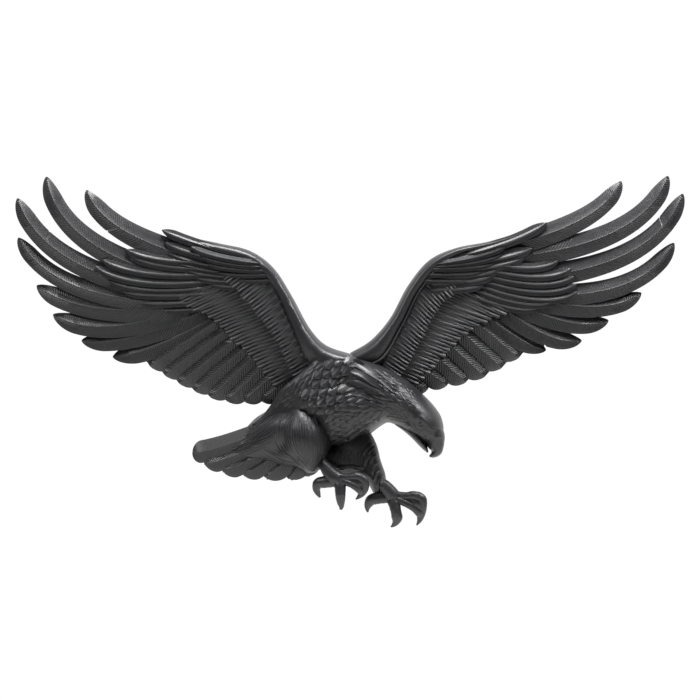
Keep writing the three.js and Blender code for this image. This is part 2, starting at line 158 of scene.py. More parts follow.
# Tip x, tip z, root x, root z, sag below the chord, half width.
NEAR_PRIMARIES = [
    (-361, 242, -250, 161, 14.5, 14.5), (-415, 260, -240, 124, 33, 14.8),
    (-454, 231, -240, 104, 34, 14.5), (-453, 178, -235, 91, 31, 13.2),
    (-428, 114, -230, 84, 18, 15.5), (-406, 75, -225, 84, 20, 16),
    (-368, 40, -205, 80, 12, 15.5), (-326, 18, -195, 68, 7, 17),
]
FAR_PRIMARIES = [
    (358, 254, 235, 175, 14.5, 13.5), (421, 261, 235, 155, 29.5, 14.5),
    (441, 237, 215, 124, 38, 14.5), (429, 171, 215, 104, 33.5, 14),
    (385, 104, 230, 100, 17, 15), (341, 67, 215, 92, 13, 15),
    (305, 40, 205, 80, 11, 15), (257, 27, 175, 75, 5, 15.5),
]
NEAR_SECONDARIES = ([(-276, 5), (-227, -23), (-178, -41), (-127, -41)],
                    [(-186, 66), (-154, 38), (-122, 6), (-98, -18)], 8, 16.5)
FAR_SECONDARIES = ([(220, 16), (170, -11), (128, -20), (98, -26)],
                   [(164, 64), (126, 40), (100, 12), (74, -14)], 6, 17)


def collection(name):
    """A new collection in the scene."""
    made = bpy.data.collections.new(name)
    bpy.context.scene.collection.children.link(made)
    return made


def new_object(name, data, group=None):
    """A new object for a mesh, a lamp or a camera, in a collection or straight in the scene."""
    made = bpy.data.objects.new(name, data)
    (group or bpy.context.scene.collection).objects.link(made)
    return made


forms = collection("Casting forms")


def curve(stations, shares, even=False):
    """Points at the given shares of a smooth curve through its stations; even counts by length."""
    knots = np.asarray(stations, float)
    knots = np.vstack([2 * knots[0] - knots[1], knots, 2 * knots[-1] - knots[-2]])
    shares = np.asarray(shares, float)
    if even:
        fine = np.linspace(0, 1, 201)
        steps = np.linalg.norm(np.diff(curve(stations, fine), axis=0), axis=1)
        run = np.concatenate([[0], np.cumsum(steps)])
        shares = np.interp(shares, run / run[-1], fine)
    spot = np.clip(shares, 0, 1 - 1e-9) * (len(stations) - 1)
    i = spot.astype(int)
    w = (spot - i)[:, None]
    p0, p1, p2, p3 = (knots[i + n] for n in range(4))
    g0, g1, g2 = (np.sqrt(np.linalg.norm(b - a, axis=1))[:, None].clip(1e-4)
                  for a, b in ((p0, p1), (p1, p2), (p2, p3)))
    m1 = ((p1 - p0) / g0 - (p2 - p0) / (g0 + g1) + (p2 - p1) / g1) * g1
    m2 = ((p2 - p1) / g1 - (p3 - p1) / (g1 + g2) + (p3 - p2) / g2) * g1
    return p1 + w * m1 + w ** 2 * (3 * (p2 - p1) - 2 * m1 - m2) + w ** 3 * (2 * (p1 - p2) + m1 + m2)


def between(ends, share):
    """The value at a share of the way from the first of two values to the second."""
    return ends[0] + (ends[1] - ends[0]) * share


def smooth(values, shares):
    """Evenly spaced values read at the given shares of a smooth curve through them."""
    return curve(list(enumerate(values)), shares)[:, 1]


def link_mesh(name, points, faces, group):
    """A mesh object from points in metres, its faces turned to look outwards."""
    points = np.asarray(points, float)
    total = 0.0
    for face in faces:
        for b, c in zip(face[1:], face[2:]):
            total += np.dot(points[face[0]], np.cross(points[b], points[c]))
    if total < 0:
        faces = [tuple(reversed(face)) for face in faces]
    mesh = bpy.data.meshes.new(name)
    mesh.from_pydata(points.tolist(), [], faces)
    return new_object(name, mesh, group)


def closed(name, rings, group=forms):
    """A closed solid through a row of rings of (x, depth, z) in millimetres, capped at both ends."""
    rings = np.asarray(rings, float)
    count, around = rings.shape[:2]
    points = rings.reshape(-1, 3) * (MM, -MM, MM)
    i, j = np.meshgrid(np.arange(count - 1), np.arange(around), indexing="ij")
    a = i * around + j
    b = i * around + (j + 1) % around
    faces = np.stack([a, b, b + around, a + around], -1).reshape(-1, 4).tolist()
    last = (count - 1) * around
    for n in range(1, around - 1):
        faces.append((0, n + 1, n))
        faces.append((last, last + n, last + n + 1))
    return link_mesh(name, points, faces, group)


def feather(name, row, root_depth, tip_depth, rise=3.4, shingle=1.7, belly=1.3, quill=0.5, barb=0.62,
            pitch=BARB_PITCH, taper=FINGER_TAPER, tip_shape=FINGER_TIP, slant=0.0, vane=VANE, nicks=()):
    """One feather: rows follow the barbs out from the shaft, and every other row is raised."""
    tip, root = np.array(row[0:2], float), np.array(row[2:4], float)
    sag, half = row[4], row[5]
    chord = tip - root
    length = np.linalg.norm(chord)
    down = np.array([chord[1], -chord[0]]) / length
    if down[1] > 0:
        down = -down
    bend = root + BEND_AT * chord + 2 * sag * down
    tip_start = 1 - min(LONGEST_TIP, tip_shape[0] * half / length)

    def outline(share):
        rounding = (1 - np.clip((share - tip_start) / (1 - tip_start), 0, 1) ** TIP_CURVE) ** tip_shape[1]
        slim = taper[0] + (taper[1] - taper[0]) * np.clip(share, 0, 1) ** 1.5
        return rounding, half * np.maximum(TIP_WIDTH, slim * rounding)

    first = -half * BARB_LEAN / length
    lines = max(6, 2 * round((1 - first) * length / pitch))
    shaft = np.linspace(first, 1, lines + 1)[:, None]
    left = np.maximum(1 - shaft, 1e-6) * length
    u = np.asarray(vane, float)[None, :]
    reach = np.full((len(shaft), len(vane)), float(half))
    for _ in range(EDGE_ROUNDS):
        edge = 1 - left * np.exp(-reach * BARB_LEAN / left) / length + slant * np.sign(u) * reach / length
        reach = 0.5 * (reach + outline(edge)[1])
    for share, side in nicks:
        line = 1 + 2 * round((share * lines - 1) / 2)
        reach[line, (u * side)[0] > 0.5] *= NICK_LEFT
    share = 1 - left * np.exp(-np.abs(u) * reach * BARB_LEAN / left) / length
    rounding = outline(share)[0]
    t = share[..., None]
    at = (1 - t) ** 2 * root + 2 * t * (1 - t) * bend + t ** 2 * tip
    way = (1 - t) * (bend - root) + t * (tip - bend)
    way /= np.linalg.norm(way, axis=-1, keepdims=True)
    side = np.stack([way[..., 1], -way[..., 0]], -1)
    side *= np.sign(side @ down)[..., None]
    spot = at + side * (u * reach)[..., None]
    depth = root_depth + (tip_depth - root_depth) * share + shingle * u
    depth = depth - ROOT_DIVE * np.clip(1 - (share - first) / ROOT_SHARE, 0, 1) ** 2
    depth = depth + rise * np.maximum(0.35, rounding) * (1 - np.abs(u) ** belly)
    furrow = np.where(np.arange(lines + 1) % 2, -0.5, 0.5)[:, None]
    fade = 1 - 0.25 * np.clip(share, 0, 1)
    depth = depth + barb * fade * furrow * (np.abs(u) > SHAFT_HALF) * (1.1 - np.abs(u) ** 3)
    depth = depth + quill * (np.abs(u) < SHAFT_HALF) * np.maximum(0.3, rounding)
    front = np.stack([spot[..., 0], depth, spot[..., 1]], -1)
    low, high = front[:, -1:].copy(), front[:, :1].copy()
    low[..., 1] = SUNK_BACK
    high[..., 1] = SUNK_BACK
    return closed(name, np.concatenate([front, low, high], axis=1))


def feather_row(name, rows, root_depths, tip_depths, open_nicks=False, **shape):
    """A row of feathers whose depths change evenly from the first to the last."""
    chance = np.random.default_rng(len(name))
    for i, row in enumerate(rows):
        t = i / (len(rows) - 1)
        nicks = ()
        if open_nicks and i % 2 == 0:
            nicks = [(chance.uniform(*NICK_PLACES), chance.choice((-1, 1)))]
        feather(f"{name} {i + 1}", row, between(root_depths, t), between(tip_depths, t), nicks=nicks, **shape)


feather_row("near finger", NEAR_PRIMARIES, (31, 24), (16, 13), open_nicks=True)
feather_row("far finger", FAR_PRIMARIES, (28, 22), (15, 13), open_nicks=True)
for name, (tips, roots, count, half), depth in (("near fan", NEAR_SECONDARIES, 22),
                                                ("far fan", FAR_SECONDARIES, 18)):
    shares = np.linspace(0, 1, count)
    rows = [(*tip, *root, 0, half) for tip, root in
            zip(curve(tips, shares, even=True), curve(roots, shares, even=True))]
    feather_row(name, rows, (depth, depth), (12, 12), rise=7.8, shingle=1.0, belly=1.35, quill=0.3,
                barb=0.7, taper=(0.85, 1.12), tip_shape=BLUNT_TIP, slant=0.35)


# Tail feathers, a short fan of seven under the rump, cast with the wings' feathers and cut the same
# way. Each one's lower edge laps over the next. The uppermost ends round, the others are cut aslant.
TAIL_FEATHERS = [
    (-219, -112, -96, -70, 4, 14.5), (-203, -126, -92, -80, 5, 14), (-180, -134, -86, -86, 5, 15),
    (-152, -139.5, -80, -92, 4, 15), (-122, -143.5, -72, -98, 3, 17), (-90, -146, -62, -102, 2, 17),
    (-66, -143, -50, -102, 0, 13),
]
TAIL_CUT = {"rise": 6.0, "shingle": 1.6, "belly": 1.2, "quill": 0.4, "taper": (0.9, 1.08)}
ROUND_TIP = (1.3, 0.5)

feather("uppermost tail feather", TAIL_FEATHERS[0], 27, 14, barb=0.4, tip_shape=ROUND_TIP, slant=-0.15,
        **TAIL_CUT)
feather_row("tail feather", TAIL_FEATHERS[1:], (27, 27), (14.7, 18), barb=0.65, tip_shape=BLUNT_TIP,
            slant=0.6, **TAIL_CUT)


# Covering feathers over the roots of the fingers and round each wing's bend. They are cut in the
# pattern as long pointed blades with a sharp raised shaft, and step down towards the fingers.
COVERT_TIP = (4.0, 0.8)
NEAR_LONG_COVERTS = [
    (-307, 162, -200, 145, 6, 7), (-303, 154, -200, 136, 6, 6.5), (-339, 148, -200, 128, 9, 6.5),
    (-349, 139, -198, 119, 12, 7), (-331, 121, -196, 111, 9, 6.5), (-313, 106, -192, 103, 4, 7),
    (-293, 92, -186, 95, 3, 7), (-262, 82, -180, 88, 3, 6),
]
FAR_LONG_COVERTS = [
    (273, 147, 185, 143, 8, 7), (290, 136, 178, 135, 10, 7), (295, 126, 176, 127, 11, 6.5),
    (298, 116, 174, 119, 12, 6.5), (299, 105, 172, 112, 13, 7), (276, 95, 168, 105, 10, 7),
    (250, 84, 165, 97, 6, 7),
]
NEAR_BEND_COVERTS = [
    (-259, 188, -134, 148, 3, 7), (-255, 171, -132, 141, 5, 7), (-250, 157, -128, 135, 6, 7),
    (-242, 145, -126, 129, 5, 6.5), (-230, 135, -124, 124, 4, 6.5), (-216, 125, -120, 119, 3, 6.5),
    (-194, 115, -115, 114, 2, 6.5),
]
NEAR_WRIST_COVERTS = [
    (-220, 165, -130, 143, 4, 5), (-208, 154, -124, 138, 4, 5), (-198, 143, -118, 133, 3, 5),
    (-186, 131, -113, 128, 2, 5), (-170, 120, -110, 121, 1, 5),
]
FAR_WRIST_COVERTS = [
    (202, 166, 110, 142, 4, 5), (196, 155, 105, 138, 4, 5), (186, 143, 98, 136, 3, 5),
    (172, 132, 95, 128, 2, 5), (156, 121, 92, 120, 1, 5),
]
FAR_BEND_COVERTS = [
    (257, 198, 150, 155, 5, 8), (213, 177, 110, 141, 2, 8), (238, 163, 112, 138, 4, 9),
    (228, 151, 112, 130, 4, 8), (202, 139, 112, 122, 4, 8), (190, 128, 108, 116, 3, 8),
    (173, 114, 104, 108, 2, 7),
]

for name, rows, root_depths, tip_depths in (
        ("near long covert", NEAR_LONG_COVERTS, (36, 33), (31, 27)),
        ("far long covert", FAR_LONG_COVERTS, (32, 30), (28, 25)),
        ("near bend covert", NEAR_BEND_COVERTS, (39, 40), (33, 34)),
        ("far bend covert", FAR_BEND_COVERTS, (37, 35), (30, 31)),
        ("near wrist covert", NEAR_WRIST_COVERTS, (46, 43), (40, 38)),
        ("far wrist covert", FAR_WRIST_COVERTS, (40, 38), (35, 34))):
    feather_row(name, rows, root_depths, tip_depths, rise=1.4, shingle=0.9, belly=1.0, quill=1.5, barb=0.4,
                pitch=4.8, vane=NARROW_VANE, taper=(0.9, 1.0), tip_shape=COVERT_TIP)


# Under the small feathers each wing is one plate of metal from the leading edge to the feathers'
# roots. The far wing's leading edge is a smooth roll with a raised bead along its inner side.
NEAR_PLATE = ([(-252, 180), (-180, 163), (-112, 136), (-62, 50), (-20, 18)],
              [(-300, 104), (-230, 84), (-170, 50), (-118, 0), (-78, -32)])
FAR_PLATE = ([(252, 190), (174, 167), (102, 146), (48, 66), (2, 22)],
             [(282, 98), (215, 80), (150, 48), (104, 2), (66, -26)])
PLATE_DEPTHS = (24, 12)
NEAR_LEADING = ([(-240, 182), (-180, 170), (-140, 160), (-110, 138), (-85, 100), (-60, 55), (-40, 34),
                 (0, 20)],
                [(-214, 158), (-176, 148), (-134, 132), (-110, 108), (-88, 62), (-66, 14), (-42, -4),
                 (-6, -8)],
                [38, 44, 50, 58, 66])
FAR_LEADING = ([(238, 191), (180, 173), (135, 164), (100, 148), (72, 115), (46, 68), (20, 39), (-7, 23)],
               [(206, 168), (170, 160), (142, 152), (110, 130), (88, 104), (66, 60), (38, 12), (10, 0)],
               [33, 38, 41, 42, 40])
ROLL = [(0, 0.42), (0.03, 0.6), (0.1, 0.79), (0.19, 0.93), (0.3, 1), (0.46, 1.01), (0.62, 0.98),
        (0.8, 0.9), (1, 0.8)]
BEADED_ROLL = [(0, 0.42), (0.03, 0.6), (0.1, 0.79), (0.2, 0.93), (0.32, 1), (0.46, 1), (0.62, 0.96),
               (0.74, 0.9), (0.79, 0.87), (0.825, 0.93), (0.87, 0.955), (0.915, 0.93),
               (0.95, 0.82), (0.975, 0.77), (1, 0.77)]


def spread(name, edge, inner, heights, steps):
    """A strip from an outer edge to an inner one; heights gives each ring's (across, depth) points."""
    shares = np.linspace(0, 1, steps + 1)
    rings = []
    for t, a, b in zip(shares, curve(edge, shares), curve(inner, shares)):
        ring = [(a[0], SUNK_BACK, a[1])]
        for across, depth in heights(t):
            spot = a + (b - a) * across
            ring.append((spot[0], depth, spot[1]))
        ring.append((b[0], SUNK_BACK, b[1]))
        rings.append(ring)
    return closed(name, rings)


def rolled(profile, crests):
    """Depths across a roll whose crest follows the given depths along the edge."""
    def heights(t):
        top = smooth(crests, [t])[0] - BACK
        return [(across, BACK + top * share) for across, share in profile]
    return heights


for name, (edge, inner) in (("near plate", NEAR_PLATE), ("far plate", FAR_PLATE)):
    spread(name, edge, inner, lambda t: [(0, PLATE_DEPTHS[0]), (1, PLATE_DEPTHS[1])], 16)
fine_bead = [tuple(spot) for spot in curve(BEADED_ROLL, np.linspace(0, 1, 34))]
spread("far leading edge", *FAR_LEADING[:2], rolled(fine_bead, FAR_LEADING[2]), 46)


# The trunk with its shoulder and neck, one soft form: the near wing's leading edge runs down into
# the shoulder without a seam. In the pattern this was modelled in clay and smoothed by hand.
TORSO = [(-92, -44, 14, 44), (-76, -40, 36, 60), (-46, -38, 54, 71),
         (-20, -45, 61, 76), (6, -45, 51, 76), (28, -48, 41, 72), (48, -54, 18, 58), (62, -60, 4, 34)]
NECK = [(-40, 0, 6, 44), (-14, -7, 28, 68), (22, -20, 31, 75), (52, -38, 31.5, 74), (77.5, -56.5, 27, 70),
        (96, -76, 24, 64), (106, -88, 16, 56), (110, -94, 5, 42)]
SHOULDER_EDGE = [(-54, 12), (-80, -9), (-100, -26), (-112, -45), (-126, -62), (-142, -73)]
SHOULDER_INNER = [(-10, 4), (-38, -24), (-54, -42), (-68, -60), (-86, -80), (-108, -94)]
SHOULDER_DEPTHS = ([57, 56, 49, 40, 33, 27], [70, 69, 65, 59, 51, 38])
HEAD_BACK = 16.0
TRUNK_GRAIN = 2.9


def form(stations, back=SUNK_BACK, steps=30, sides=24, start=0.0, swell=0.0, relief=None):
    """Rings of a rounded form: half an ellipse over a flat back, at stations x, z, half width, crest."""
    shares = np.linspace(start, 1, steps + 1)
    path = curve([(x, crest, z) for x, z, half, crest in stations], shares)
    halves = smooth([row[2] for row in stations], shares).clip(0.5)
    way = np.gradient(path, axis=0)
    rings = []
    for t, (x, crest, z), half, step in zip(shares, path, halves, way):
        side = np.array([-step[2], step[0]]) / math.hypot(step[2], step[0])
        angle = np.linspace(0, math.pi, sides + 1)
        grow = swell + (relief(t, angle) if relief else 0)
        across = (half + grow) * np.cos(angle)
        depth = back + (crest - back + grow) * np.sin(angle)
        rings.append(np.stack([x + side[0] * across, depth, z + side[1] * across], -1))
    return rings


def arched(edge_depths, inner_depths):
    """Depths of a gently arched panel that falls away from its inner side to its edge."""
    def heights(t):
        edge, inner = (smooth(row, [t])[0] for row in (edge_depths, inner_depths))
        return [(share, edge + (inner - edge) * share ** 0.8) for share in (0, 0.12, 0.3, 0.5, 0.75, 1)]
    return heights


def applied(piece):
    """The mesh that an object's modifiers make; they come off the object."""
    mesh = bpy.data.meshes.new_from_object(piece.evaluated_get(bpy.context.evaluated_depsgraph_get()))
    piece.modifiers.clear()
    return mesh


def net(piece):
    """A piece's points in metres, and its faces."""
    return ([tuple(v.co) for v in piece.data.vertices],
            [tuple(face.vertices) for face in piece.data.polygons])


def softened(name, pieces, grain, passes):
    """Several solids made one skin of even small faces, with the creases between them smoothed away."""
    points, faces = [], []
    for piece in pieces:
        own_points, own_faces = net(piece)
        faces += [tuple(len(points) + i for i in face) for face in own_faces]
        points += own_points
        bpy.data.objects.remove(piece)
    made = link_mesh(name, points, faces, forms)
    skin = made.modifiers.new("Skin", "REMESH")
    skin.mode = "VOXEL"
    skin.voxel_size = grain * MM
    smooth = made.modifiers.new("Smooth", "SMOOTH")
    smooth.factor = 0.5
    smooth.iterations = passes
    made.data = applied(made)
    return made


trunk = softened("trunk", [
    closed("torso", form(TORSO)),
    closed("neck", form(NECK, HEAD_BACK)),
    spread("shoulder", SHOULDER_EDGE, SHOULDER_INNER, arched(*SHOULDER_DEPTHS), 30),
    spread("near leading edge", *NEAR_LEADING[:2], rolled(ROLL, NEAR_LEADING[2]), 60),
], TRUNK_GRAIN, 14)


# Two bands of narrow covering feathers cross each wing between the leading edge and the fan. Each is
# a bed with small ribbed feathers laid side by side on it, their blunt ends over a shadowed step.
NEAR_UPPER = [(-146, 146), (-122, 130), (-104, 97), (-86, 58), (-59, 2)]
NEAR_MIDDLE = [(-176, 124), (-150, 102), (-129, 78), (-101, 36), (-80, -9)]
NEAR_LOWER = [(-238, 96), (-204, 78), (-172, 54), (-137, 18), (-106, -22)]
FAR_UPPER = [(116, 136), (88, 104), (66, 58), (36, 4)]
FAR_MIDDLE = [(138, 111), (110, 84), (84, 38), (58, -9)]
FAR_LOWER = [(207, 80), (156, 59), (118, 22), (80, -19)]
RIB_HEIGHT = 4.1
RIB_OVERHANG = 3.0
RIB_OVERLAP = 1.12
BED_DEPTH = 1.2
BED_ACROSS = (-0.04, 0.25, 0.5, 0.75, 1)
RAY_START = -0.2
STEEPEST = -0.3

patterns = collection("Small feather patterns")


def small_feather(name, rings, columns, ribs, blunt):
    """A feather one unit long, wide and high, sunk one unit down, with ribs along it or a single shaft."""
    made = []
    tip_width, root_lift, lift_gain, tip_lift, end_gain = (
        (0.82, 0.45, 0.55, 0.45, 0.55) if ribs > 1 else (0.16, 0.15, 0.85, 0.75, 0.25))
    for along in np.linspace(-0.5, 0.5, rings):
        run = along + 0.5
        end = math.sqrt(max(0.0, 1 - max(0.0, (run - blunt) / (1 - blunt)) ** 2))
        width = 0.5 * max(tip_width, (0.82 + 0.18 * min(1, run / 0.4)) * end)
        lift = root_lift + lift_gain * run ** 1.2
        lift *= tip_lift + end_gain * end
        y = np.linspace(-1, 1, columns)
        crest = (1 - np.abs(y) ** 1.4) * 0.9
        if ribs == 0:
            crest = np.interp(np.abs(y), (0, 0.34, 0.7, 1), (1, 0.68, 0.56, 0.1))
        if ribs > 1:
            grooves = np.abs(np.sin(math.pi * ribs * (y + 1) / 2)) ** 1.3
            crest = 0.35 * crest + 0.95 * (0.25 + 0.75 * run) * grooves
        top = np.stack([np.full(columns, along), y * width, -0.1 + lift * (0.25 + crest)], -1)
        low = np.array([(along, width, -1.0), (along, -width, -1.0)])
        made.append(np.vstack([top, low]))
    # closed() takes millimetres and flips the depth, so the pattern is turned back to units here.
    return closed(name, np.array(made) * (1 / MM, -1 / MM, 1 / MM), patterns)


laying = bpy.data.node_groups.new("Lay small feathers", "GeometryNodeTree")
for label, kind in (("Roots", "NodeSocketGeometry"), ("Feather", "NodeSocketObject"),
                    ("Surface", "NodeSocketObject"), ("Size spread", "NodeSocketFloat"),
                    ("Turn spread", "NodeSocketFloat"), ("Seed", "NodeSocketInt"),
                    ("Coat", "NodeSocketMaterial")):
    laying.interface.new_socket(label, in_out="INPUT", socket_type=kind)
laying.interface.new_socket("Feathers", in_out="OUTPUT", socket_type="NodeSocketGeometry")
given = add(laying, "NodeGroupInput").outputs
below = add(laying, "GeometryNodeObjectInfo", {"Object": given["Surface"]}, transform_space="RELATIVE")
shape = add(laying, "GeometryNodeObjectInfo", {"Object": given["Feather"], "As Instance": True})
spot = add(laying, "GeometryNodeInputPosition")
# Each ray starts from one plane in front, also for a point that is already dropped on the surface.
ahead = add(laying, "ShaderNodeVectorMath", {
    0: spot, 1: (1, 0, 1), 2: (0, RAY_START, 0),
}, operation="MULTIPLY_ADD")
ray = add(laying, "GeometryNodeRaycast", {
    "Target Geometry": below.outputs["Geometry"], "Source Position": ahead,
    "Ray Direction": (0, 1, 0), "Ray Length": 1.0,
})
tip_way = add(laying, "GeometryNodeInputNamedAttribute", {"Name": "tip_way"}, data_type="FLOAT_VECTOR")
size = add(laying, "GeometryNodeInputNamedAttribute", {"Name": "size"}, data_type="FLOAT_VECTOR")
aim = add(laying, "FunctionNodeAxesToRotation", {
    "Primary Axis": ray.outputs["Hit Normal"], "Secondary Axis": tip_way,
}, primary_axis="Z", secondary_axis="X")


def drawn(low, high):
    """A number drawn for each feather between two given ones."""
    made = add(laying, "FunctionNodeRandomValue", {"Seed": given["Seed"]}, data_type="FLOAT")
    for socket in made.inputs:
        if socket.type == "VALUE" and socket.name in ("Min", "Max"):
            laying.links.new(low if socket.name == "Min" else high, socket)
    return [s for s in made.outputs if s.type == "VALUE"][0]


least = add(laying, "ShaderNodeMath", {0: 0.0, 1: given["Turn spread"]}, operation="SUBTRACT")
twist = add(laying, "FunctionNodeAxisAngleToRotation", {
    "Axis": (0, 0, 1), "Angle": drawn(least.outputs[0], given["Turn spread"]),
})
aimed = add(laying, "FunctionNodeRotateRotation", {
    "Rotation": aim, "Rotate By": twist,
}, rotation_space="LOCAL")
smallest, largest = (add(laying, "ShaderNodeMath", {0: 1.0, 1: given["Size spread"]}, operation=change)
                     for change in ("SUBTRACT", "ADD"))
grown = add(laying, "ShaderNodeVectorMath", {
    0: size, "Scale": drawn(smallest.outputs[0], largest.outputs[0]),
}, operation="SCALE")
dropped = add(laying, "GeometryNodeSetPosition", {
    "Geometry": given["Roots"], "Position": ray.outputs["Hit Position"],
})
hit_way = add(laying, "ShaderNodeSeparateXYZ", {"Vector": ray.outputs["Hit Normal"]})
faces_out = add(laying, "FunctionNodeCompare", {
    "A": hit_way.outputs["Y"], "B": STEEPEST,
}, operation="LESS_THAN")
kept = add(laying, "FunctionNodeBooleanMath", {0: ray.outputs["Is Hit"], 1: faces_out})
laid = add(laying, "GeometryNodeInstanceOnPoints", {
    "Points": dropped, "Selection": kept, "Instance": shape.outputs["Geometry"],
    "Rotation": aimed, "Scale": grown,
})
solid = add(laying, "GeometryNodeRealizeInstances", {"Geometry": laid})
coated = add(laying, "GeometryNodeSetMaterial", {"Geometry": solid, "Material": given["Coat"]})
add(laying, "NodeGroupOutput", {"Feathers": coated})


def vectors(mesh, name):
    """Each vertex's place or normal, one row for each."""
    values = np.empty(len(mesh.vertices) * 3)
    mesh.vertices.foreach_get(name, values)
    return values.reshape(-1, 3)


def lay(name, pattern, bed, rows, size_spread, turn_spread, seed):
    """Lays a pattern on a surface at rows of x, z, tip way x, z, length, width, height; one solid each."""
    rows = np.asarray(rows, float)
    spots = bpy.data.meshes.new(name)
    spots.from_pydata([(x * MM, RAY_START, z * MM) for x, z in rows[:, :2]], [], [])
    ways = np.stack([rows[:, 2], np.zeros(len(rows)), rows[:, 3]], -1)
    for label, values in (("tip_way", ways), ("size", rows[:, 4:7] * MM)):
        spots.attributes.new(label, "FLOAT_VECTOR", "POINT").data.foreach_set("vector", values.ravel())
    holder = new_object(name, spots, patterns)
    laid_on = holder.modifiers.new("Lay", "NODES")
    laid_on.node_group = laying
    sockets = {item.name: item.identifier for item in laying.interface.items_tree if item.in_out == "INPUT"}
    for label, value in (("Feather", pattern), ("Surface", bed), ("Size spread", size_spread),
                         ("Turn spread", turn_spread), ("Seed", seed), ("Coat", coat)):
        laid_on[sockets[label]] = value
    points = vectors(applied(holder), "co")
    pattern_points, faces = net(pattern)
    for i, feather_points in enumerate(points.reshape(-1, len(pattern_points), 3)):
        link_mesh(f"{name} {i + 1}", feather_points, faces, forms)


ribbed_covert = small_feather("ribbed covert", 7, 9, 2, 0.92)
for name, inner, outer, inner_depths, outer_depths, count in (
        ("near lower band", NEAR_MIDDLE, NEAR_LOWER, (35, 37), (32, 35), 17),
        ("near upper band", NEAR_UPPER, NEAR_MIDDLE, (40, 46), (39, 44), 16),
        ("far lower band", FAR_MIDDLE, FAR_LOWER, (30, 31), (28, 29), 16),
        ("far upper band", FAR_UPPER, FAR_MIDDLE, (34, 36), (34, 35), 15)):
    def slope(t, inner_depths=inner_depths, outer_depths=outer_depths):
        top, low = between(inner_depths, t) - BED_DEPTH, between(outer_depths, t) - BED_DEPTH
        return [(across, top + (low - top) * across) for across in BED_ACROSS]
    band_bed = spread(name, inner, outer, slope, 24)
    shares = (np.arange(count) + 0.5) / count
    starts = curve(inner, shares, even=True)
    ends = curve(outer, shares, even=True)
    pitch = np.linalg.norm(np.diff(curve(outer, np.linspace(0, 1, count + 1), even=True), axis=0), axis=1)
    rows = []
    for start, end, wide in zip(starts, ends, pitch):
        span = end - start
        long = np.linalg.norm(span)
        middle = start + span * (0.5 + RIB_OVERHANG / 2 / long)
        rows.append((*middle, *(span / long), long + RIB_OVERHANG, wide * RIB_OVERLAP, RIB_HEIGHT))
    lay(name, ribbed_covert, band_bed, rows, 0.09, 0.03, count)


# The near thigh and the rump behind it, one soft form under fine combed down: it meets the belly in
# a deep crease and fades into the tail. The far thigh stands behind, with a dark hollow between.
THIGH = [(-69, -46, 15, 52), (-71, -61, 30, 68), (-68, -84, 38, 78), (-63, -104, 36, 75),
         (-59, -122, 25, 66), (-55, -137, 9, 52)]
RUMP = [(-66, -60, 18, 60), (-92, -78, 34, 61), (-116, -92, 34, 49), (-142, -103, 25, 34),
        (-172, -109, 12, 22)]
UNDERTAIL = [(-60, -108, 22, 60), (-84, -110, 22, 56), (-106, -111, 19, 42), (-130, -112, 11, 26)]
FAR_THIGH = [(-6, -84, 26, 36), (-2, -100, 29, 43), (4, -114, 29.5, 46), (14, -127, 25, 48),
             (25, -139, 15.5, 48), (29.5, -150, 13, 46), (30, -160, 8.5, 43), (30, -169, 3.5, 38)]
GROIN = [(-46, -104, 10, 32), (-35, -117, 21, 41), (-18, -121, 26, 45), (0, -122, 26, 46),
         (14, -124, 20, 45)]
HEM = [(-25, 42, -129, 2), (-17, 46, -131.5, 2.8), (-8, 47, -129.5, 2.4), (2, 48, -131.5, 2.8),
       (12, 47, -130.5, 2.2)]
HAUNCH_GRAIN = 2.3
LEG_GRAIN = 2.0
STRAND = (1.25, 0.75)
TROUSER_LOCKS = [
    [(30, -101), (23, -105), (18, -113)], [(32, -111), (24, -117), (19, -126)],
    [(34, -121), (26, -128), (22, -139)], [(36, -131), (29, -138), (25, -149)],
    [(38, -140), (32, -147), (29, -158)], [(26, -99), (16, -105), (11, -114)],
    [(26, -112), (16, -120), (12, -130)],
]


def lock(name, tree, line, half, height, rings, dip=0.0, round_end=0.15):
    """A lock laid along a line over a soft form, following its surface; a dip parts it down the middle."""
    shares = np.linspace(0, 1, rings)
    trail = curve(line, shares, even=True)
    solid = []
    for t, (x, z), step in zip(shares, trail, np.gradient(trail, axis=0)):
        spot, normal = tree.ray_cast((x * MM, RAY_START, z * MM), (0, 1, 0))[:2]
        if spot is None or normal[1] > STEEPEST:
            continue
        normal = np.array(normal)
        side = np.cross(normal, [step[0], 0, step[1]])
        side /= np.linalg.norm(side)
        end = max(0, (t - 1 + round_end) / round_end)
        full = min(1, t / 0.3) ** 0.7 * math.sqrt(max(0.02, 1 - end ** 2))
        across = np.array([-1, -0.7, 0, 0.7, 1, 0])[:, None] * half * max(0.15, full)
        rise = np.array([-0.5, 0.75, 1 - dip, 0.75, -0.5, -1.6])[:, None] * height * max(0.2, full)
        ring = np.array(spot) / MM + side * across + normal * rise
        solid.append(ring * (1, -1, 1))
    if len(solid) > 3:
        closed(name, solid)


def surface_of(piece):
    """A search tree of a form's faces, to find its surface along a line of sight."""
    return BVHTree.FromPolygons(*net(piece))


def comb(name, piece, first, last, lines, seed, reach=(0.3, 0.6)):
    """Fine strands over a form, each part of a line that lies between two guide lines."""
    chance = np.random.default_rng(seed)
    tree = surface_of(piece)
    first, last = (curve(guide, np.linspace(0, 1, 24), even=True) for guide in (first, last))
    for i in range(lines):
        share = (i + chance.uniform(-0.3, 0.3)) / (lines - 1)
        line = first + (last - first) * share
        start = chance.uniform(0, 0.2)
        while start < 0.85:
            end = min(1.0, start + chance.uniform(*reach))
            part = curve(line, np.linspace(start, end, 6))
            part += chance.uniform(-0.7, 0.7, (6, 2))
            scale = chance.uniform(0.7, 1.15)
            lock(f"{name} {i} {start:.2f}", tree, part, STRAND[0] * scale, STRAND[1] * scale, 7)
            start = end + chance.uniform(0.02, 0.1)


